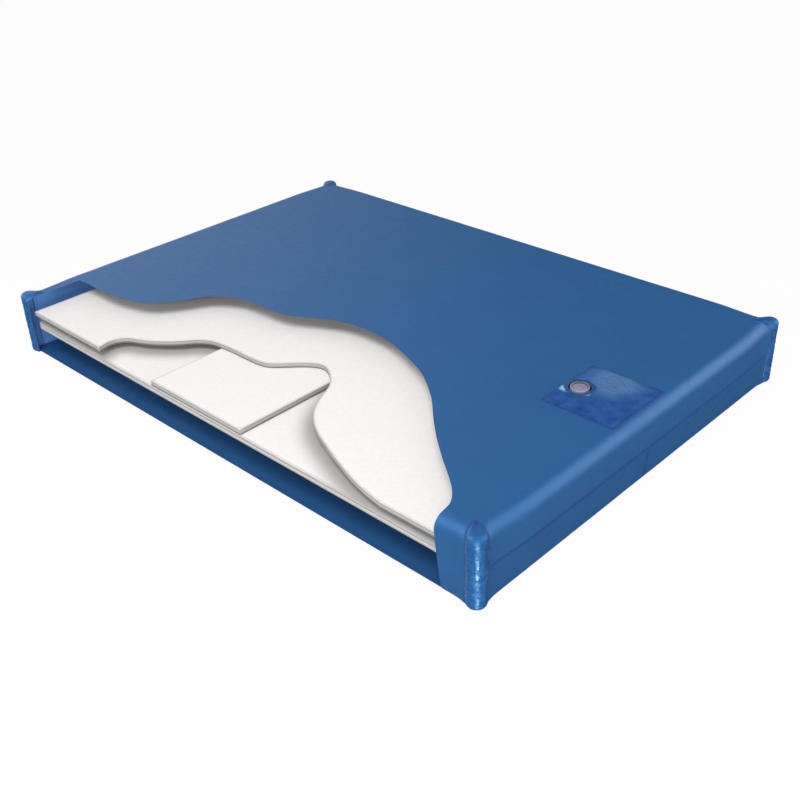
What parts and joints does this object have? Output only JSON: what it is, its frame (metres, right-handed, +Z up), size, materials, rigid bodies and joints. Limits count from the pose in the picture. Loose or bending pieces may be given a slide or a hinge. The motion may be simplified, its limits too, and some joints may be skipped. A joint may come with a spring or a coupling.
{
  "type": "waterbed mattress",
  "caption": "Hard-side waterbed mattress of welded vinyl, cut open at one long side to show its fibre sheets and lumbar pad, with a pull-up filling valve under a screw cap.",
  "frame": {"origin": "on the floor under the middle of the mattress", "axes": "+X along the bed towards the foot end with the valve, +Y across it away from the cut-open side, +Z up"},
  "size_m": [2.1586, 1.5486, 0.2303],
  "materials": {
    "blue_vinyl": "satin flexible vinyl",
    "navy_vinyl": "satin flexible vinyl",
    "glossy_vinyl": "glossy flexible vinyl",
    "patch_vinyl": "glossy wrinkled vinyl",
    "fiber": "bonded polyester fibre",
    "stem_plastic": "moulded vinyl",
    "gasket_rubber": "matte",
    "cap_plastic": "moulded plastic"
  },
  "bodies": {
    "mattress": {"top_sheet": "blue_vinyl", "floor_sheet_near": "navy_vinyl", "floor_sheet_far": "navy_vinyl", "floor_seam_tape": "navy_vinyl", "head_gusset_near": "glossy_vinyl", "head_gusset_far": "glossy_vinyl", "foot_gusset_near": "glossy_vinyl", "foot_gusset_far": "glossy_vinyl", "top_fiber_sheet": "fiber", "lumbar_pad": "fiber", "upper_fiber_ply": "fiber", "lower_fiber_ply": "fiber", "head_fiber_tab_near": "navy_vinyl", "head_fiber_tab_far": "navy_vinyl", "foot_fiber_tab_near": "navy_vinyl", "foot_fiber_tab_far": "navy_vinyl", "side_fiber_tab_head": "navy_vinyl", "side_fiber_tab_foot": "navy_vinyl", "valve_patch": "patch_vinyl", "valve_flange": "navy_vinyl", "valve_skirt": "blue_vinyl"},
    "stem": {"valve_stem": "stem_plastic"},
    "plug": {"valve_plug": "stem_plastic"},
    "gasket": {"cap_gasket": "gasket_rubber"},
    "cap": {"valve_cap": "cap_plastic"}
  },
  "joints": [
    {"name": "valve_lift", "type": "slide", "parent": "mattress", "child": "stem", "axis": [0, 0, 1], "range_m": [0, 0.022], "deforming": ["valve_skirt"]},
    {"name": "cap_lift", "type": "slide", "parent": "stem", "child": "gasket", "axis": [0, 0, 1], "range_m": [0, 0.0091]},
    {"name": "cap_turn", "type": "hinge", "parent": "gasket", "child": "cap", "pos_m": [0.835, -0.015, 0.2229], "axis": [0, 0, 1], "range_deg": [0, 1080]},
    {"name": "plug_lift", "type": "slide", "parent": "stem", "child": "plug", "axis": [0, 0, 1], "range_m": [0, 0.0077]}
  ],
  "couplings": [
    {"joint": "cap_lift", "follows": "cap_turn", "m_per_rad": 0.00047746},
    {"joint": "plug_lift", "follows": "cap_turn", "m_per_rad": 0.0004}
  ]
}
